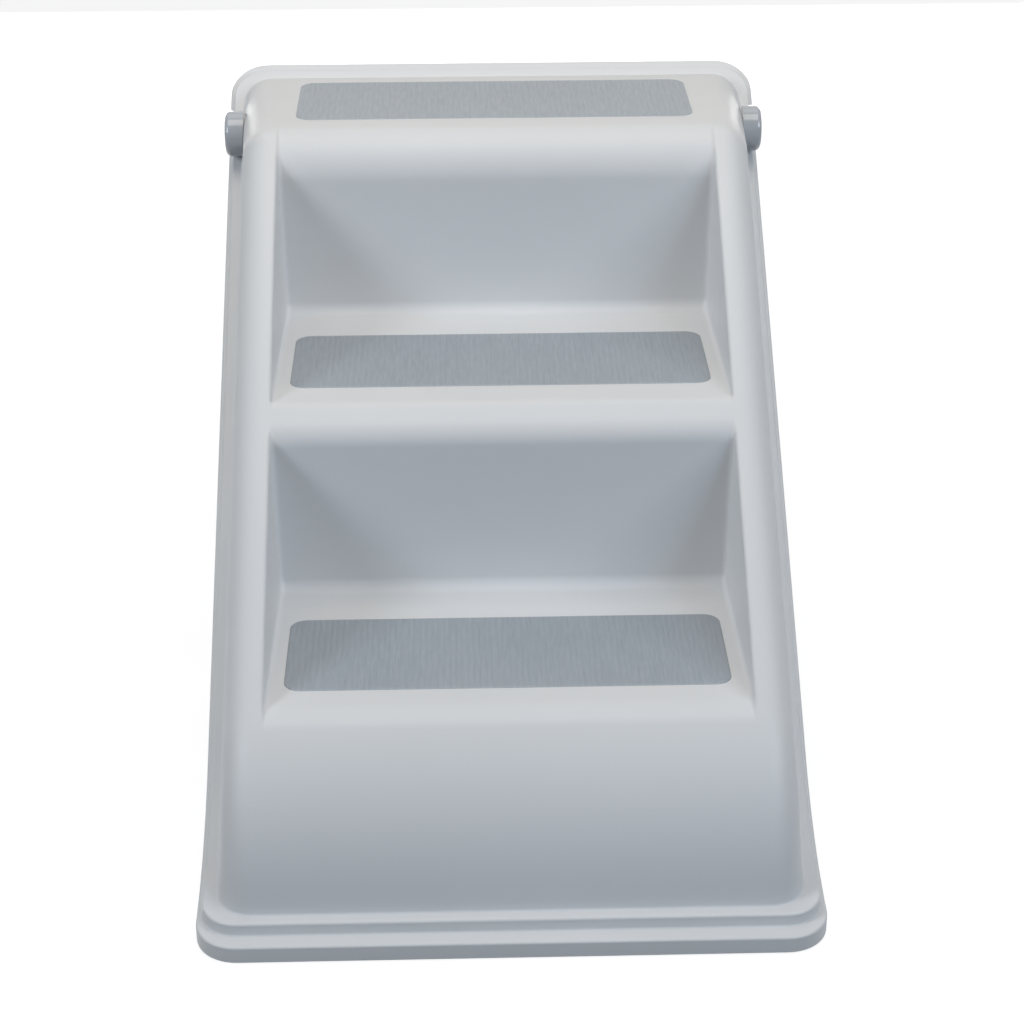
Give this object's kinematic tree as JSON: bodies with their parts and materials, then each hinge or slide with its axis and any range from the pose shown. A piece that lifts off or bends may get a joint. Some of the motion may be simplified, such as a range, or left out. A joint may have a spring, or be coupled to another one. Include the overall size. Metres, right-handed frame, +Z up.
{
  "type": "folding pet stairs",
  "caption": "Folding pet stairs: a one-piece moulded step shell with inlaid ribbed mats, leaning on a hinged rear leg that folds up into its hollow underside.",
  "frame": {"origin": "on the floor, in the middle of the footprint of the opened stairs", "axes": "+X to the right seen from the front, +Y from the toe towards the back, in the direction of climbing, +Z up"},
  "size_m": [0.406, 0.6092, 0.4072],
  "materials": {
    "shell": "light grey moulded plastic, matt",
    "mat": "blue-grey ribbed rubber, matt",
    "leg": "light grey moulded plastic, matt",
    "cap": "mid grey, glossy",
    "pin": "bright zinc-plated steel",
    "bush": "natural nylon",
    "foot": "dark grey rubber, matt"
  },
  "bodies": {
    "stairs": {"step_shell": "shell", "tread_mat_lower": "mat", "tread_mat_middle": "mat", "tread_mat_upper": "mat", "hinge_pin_left": "pin", "hinge_pin_right": "pin", "hinge_washer_left": "bush", "hinge_washer_right": "bush", "hinge_ring_left": "pin", "hinge_ring_right": "pin", "hinge_cap_left": "cap", "hinge_cap_right": "cap", "front_foot_left": "foot", "front_foot_right": "foot"},
    "leg": {"rear_leg": "leg", "hinge_bush_left": "bush", "hinge_bush_right": "bush", "leg_foot_left": "foot", "leg_foot_right": "foot"}
  },
  "joints": [
    {"name": "leg_fold", "type": "hinge", "parent": "stairs", "child": "leg", "pos_m": [0, 0.21406, 0.37793], "axis": [-1, 0, 0], "range_deg": [0, 63.3]}
  ]
}
